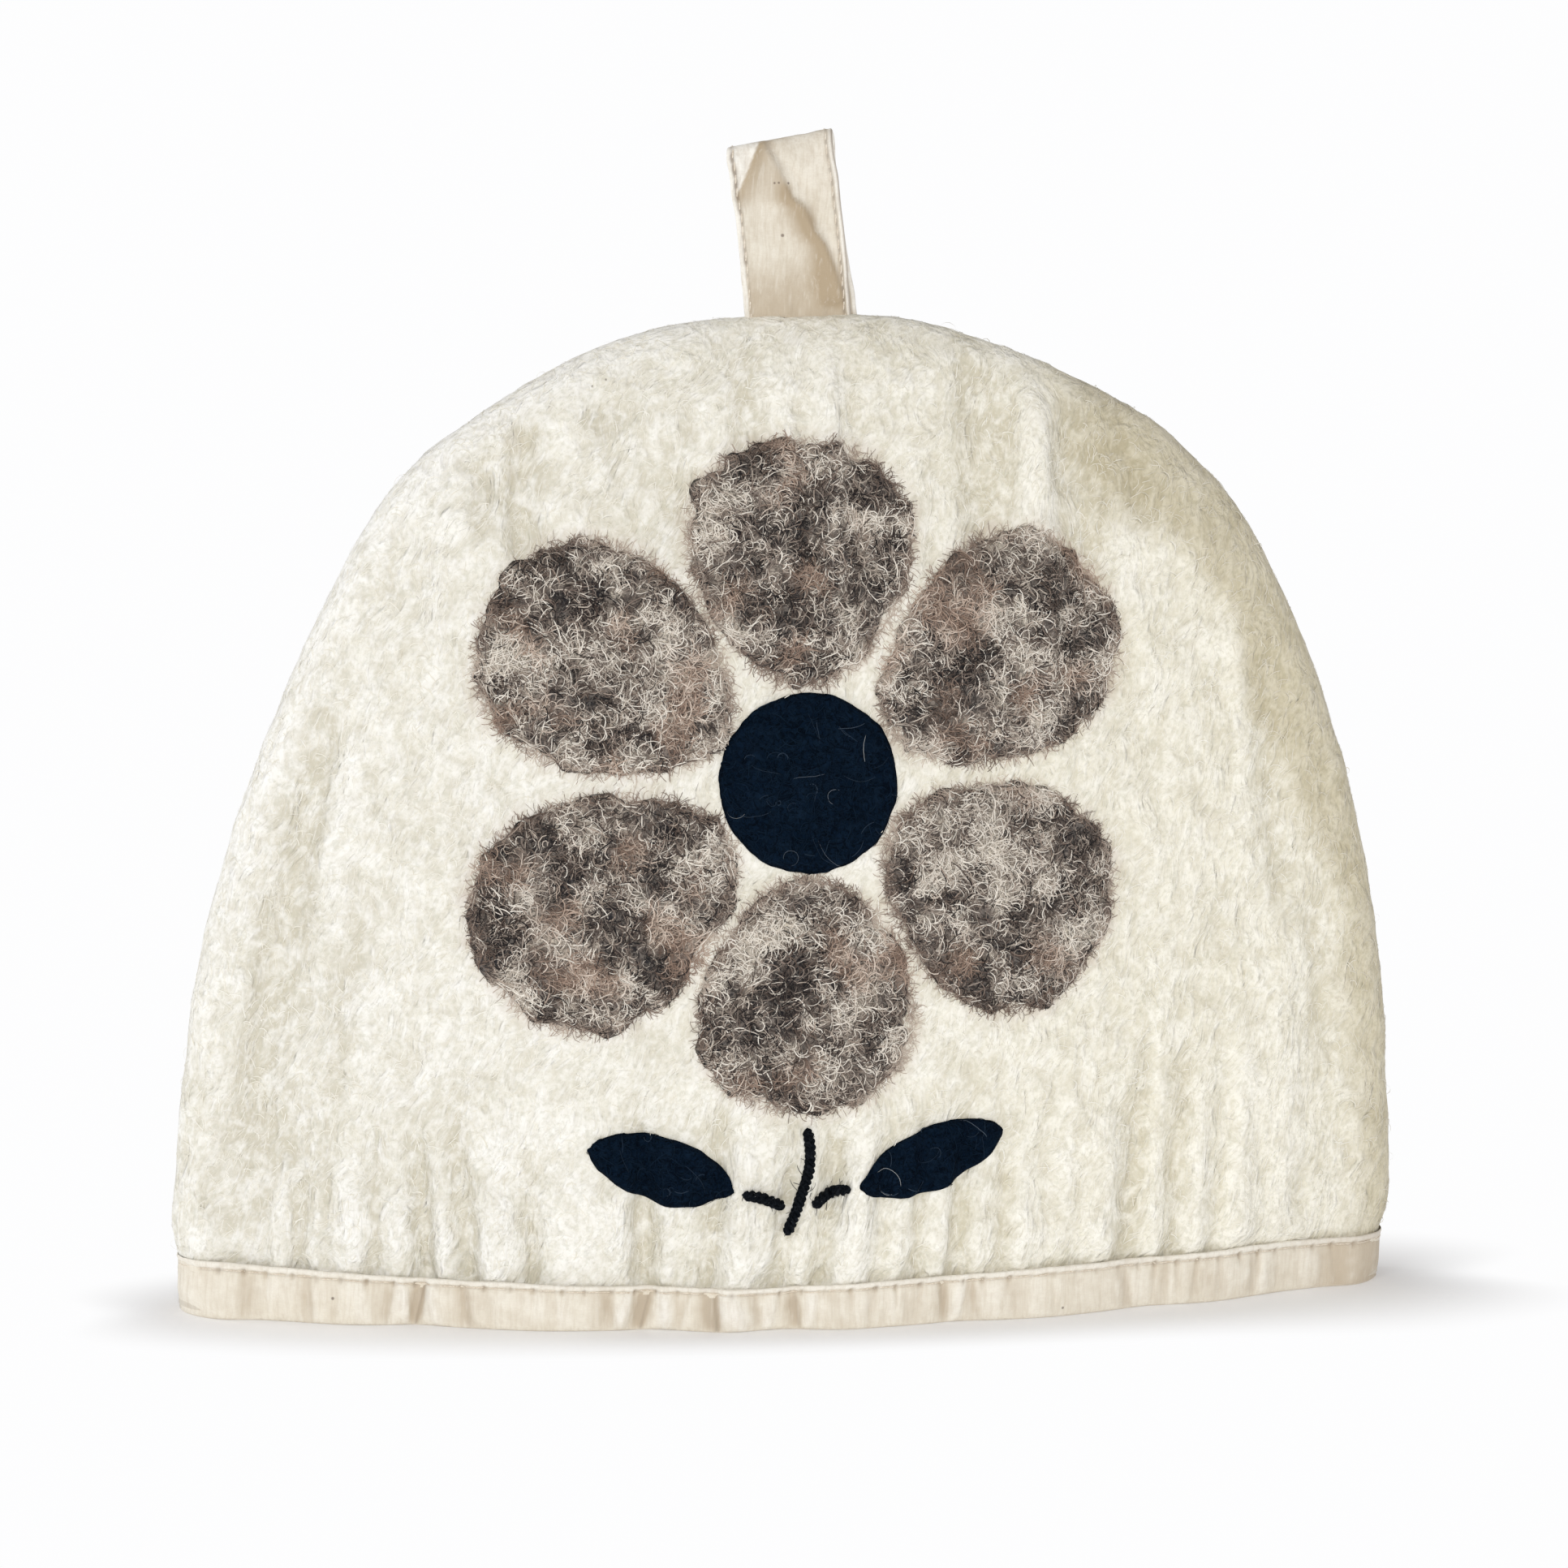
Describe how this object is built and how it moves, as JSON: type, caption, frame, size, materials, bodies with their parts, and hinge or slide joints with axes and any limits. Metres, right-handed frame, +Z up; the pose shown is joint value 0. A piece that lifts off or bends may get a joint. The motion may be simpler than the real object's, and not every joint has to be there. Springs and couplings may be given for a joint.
{
  "type": "tea cosy",
  "caption": "Dome-shaped seamless wool-felt tea cosy, standing open on its bound hem, with a tape hanging loop on top and a fleece and felt flower on the front.",
  "frame": {"origin": "centre of the overall box at the bottom, level with the underside of the hem", "axes": "+X along the width towards the viewer's right, the flower side faces -Y, +Z up through the hanging loop"},
  "size_m": [0.3392, 0.0808, 0.3124],
  "materials": {
    "felt_cream": "matte fuzzy wool felt",
    "binding_cotton": "matte plain-weave cotton",
    "loop_cotton": "matte plain-weave cotton",
    "fleece_taupe": "matted curly fleece",
    "felt_navy": "matte wool felt",
    "yarn_black": "matte wool yarn"
  },
  "bodies": {
    "root": {"felt_body": "felt_cream", "hem_binding": "binding_cotton", "hanging_loop": "loop_cotton", "petal_top": "fleece_taupe", "petal_upper_right": "fleece_taupe", "petal_lower_right": "fleece_taupe", "petal_bottom": "fleece_taupe", "petal_lower_left": "fleece_taupe", "petal_upper_left": "fleece_taupe", "flower_centre": "felt_navy", "leaf_left": "felt_navy", "leaf_right": "felt_navy", "stem": "yarn_black", "stalk_left": "yarn_black", "stalk_right": "yarn_black"}
  },
  "joints": []
}
